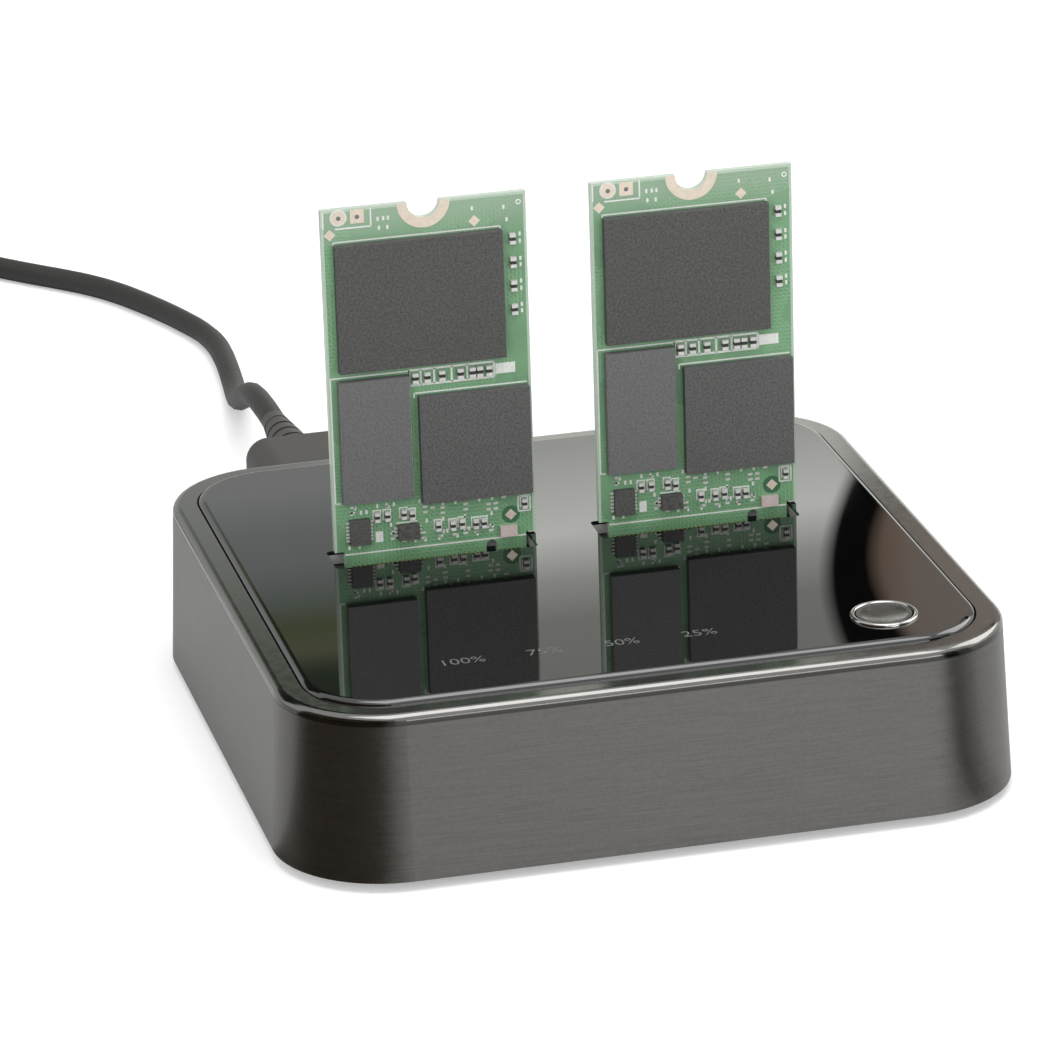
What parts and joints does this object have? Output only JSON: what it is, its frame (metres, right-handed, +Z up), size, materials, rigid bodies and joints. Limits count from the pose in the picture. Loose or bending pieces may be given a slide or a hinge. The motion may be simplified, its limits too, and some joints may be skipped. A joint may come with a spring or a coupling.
{
  "type": "solid state drive docking station",
  "caption": "Square desktop docking and cloning station with upright M.2 solid state drives plugged into top slots, one push button, rear ports and a data lead.",
  "frame": {"origin": "middle of the housing in plan, on the surface that its rubber feet stand on", "axes": "+Z up, +Y to the rear wall with the ports, +X to the right seen from the front, where the button is"},
  "size_m": [0.143, 0.247, 0.0575],
  "materials": {
    "brushed_wall": "brushed dark grey",
    "polished_rim": "polished",
    "gloss_black_panel": "mirror gloss",
    "carrier_grey": "moulded",
    "liner_grey": "moulded",
    "base_black": "fine grain",
    "foot_rubber": "matt",
    "dark_steel": "blackened",
    "bright_steel": "plated",
    "station_board": "solder mask",
    "black_plastic": "moulded",
    "gold": "gold plated",
    "chip_black": "fine grain",
    "ceramic": "ceramic",
    "led_lens": "clear",
    "ring_chrome": "polished",
    "cap_metal": "satin",
    "white_plastic": "moulded",
    "drive_board_green": "solder mask",
    "package_black": "fine grain",
    "drive_ceramic": "ceramic",
    "pad_copper": "bare pad",
    "lead_black": "matt"
  },
  "bodies": {
    "station": {"side_frame": "brushed_wall", "top_bezel": "polished_rim", "top_panel": "gloss_black_panel", "inner_frame": "carrier_grey", "left_slot_liner": "liner_grey", "right_slot_liner": "liner_grey", "base_cover": "base_black", "rubber_feet": "foot_rubber", "base_screws": "dark_steel", "main_board": "station_board", "board_screws": "bright_steel", "left_socket": "black_plastic", "left_socket_contacts": "gold", "right_socket": "black_plastic", "right_socket_contacts": "gold", "clone_controller": "chip_black", "bridge_chips": "chip_black", "crystals": "bright_steel", "power_inductors": "chip_black", "bulk_capacitors": "bright_steel", "board_capacitors": "ceramic", "status_leds": "led_lens", "light_guide": "led_lens", "usb_port_shell": "bright_steel", "usb_port_tongue": "black_plastic", "dc_jack_housing": "black_plastic", "dc_jack_pin": "bright_steel", "power_switch_case": "black_plastic", "button_ring": "ring_chrome", "button_switch_case": "black_plastic", "plug_shell": "bright_steel", "plug_grip": "lead_black", "strain_relief": "lead_black", "cord": "lead_black", "cord_coil": "lead_black", "cord_tail": "lead_black", "far_strain_relief": "lead_black", "far_plug_grip": "lead_black", "far_plug_shell": "bright_steel"},
    "left_drive": {"left_drive_board": "drive_board_green", "left_drive_flash": "package_black", "left_drive_memory": "package_black", "left_drive_controller": "package_black", "left_drive_chips": "package_black", "left_drive_passives": "drive_ceramic", "left_drive_contacts": "gold", "left_drive_pads": "pad_copper"},
    "right_drive": {"right_drive_board": "drive_board_green", "right_drive_flash": "package_black", "right_drive_memory": "package_black", "right_drive_controller": "package_black", "right_drive_chips": "package_black", "right_drive_passives": "drive_ceramic", "right_drive_contacts": "gold", "right_drive_pads": "pad_copper"},
    "button": {"button_cap": "cap_metal", "button_switch_plunger": "white_plastic"},
    "power_switch": {"power_switch_slider": "black_plastic"}
  },
  "joints": [
    {"name": "left_drive_lift", "type": "slide", "parent": "station", "child": "left_drive", "axis": [0, 0, 1], "range_m": [0, 0.03]},
    {"name": "right_drive_lift", "type": "slide", "parent": "station", "child": "right_drive", "axis": [0, 0, 1], "range_m": [0, 0.03]},
    {"name": "button_press", "type": "slide", "parent": "station", "child": "button", "axis": [0, 0, -1], "range_m": [0, 0.0005], "stiffness_N_per_m": 400},
    {"name": "power_switch_slide", "type": "slide", "parent": "station", "child": "power_switch", "axis": [1, 0, 0], "range_m": [0, 0.002]}
  ]
}
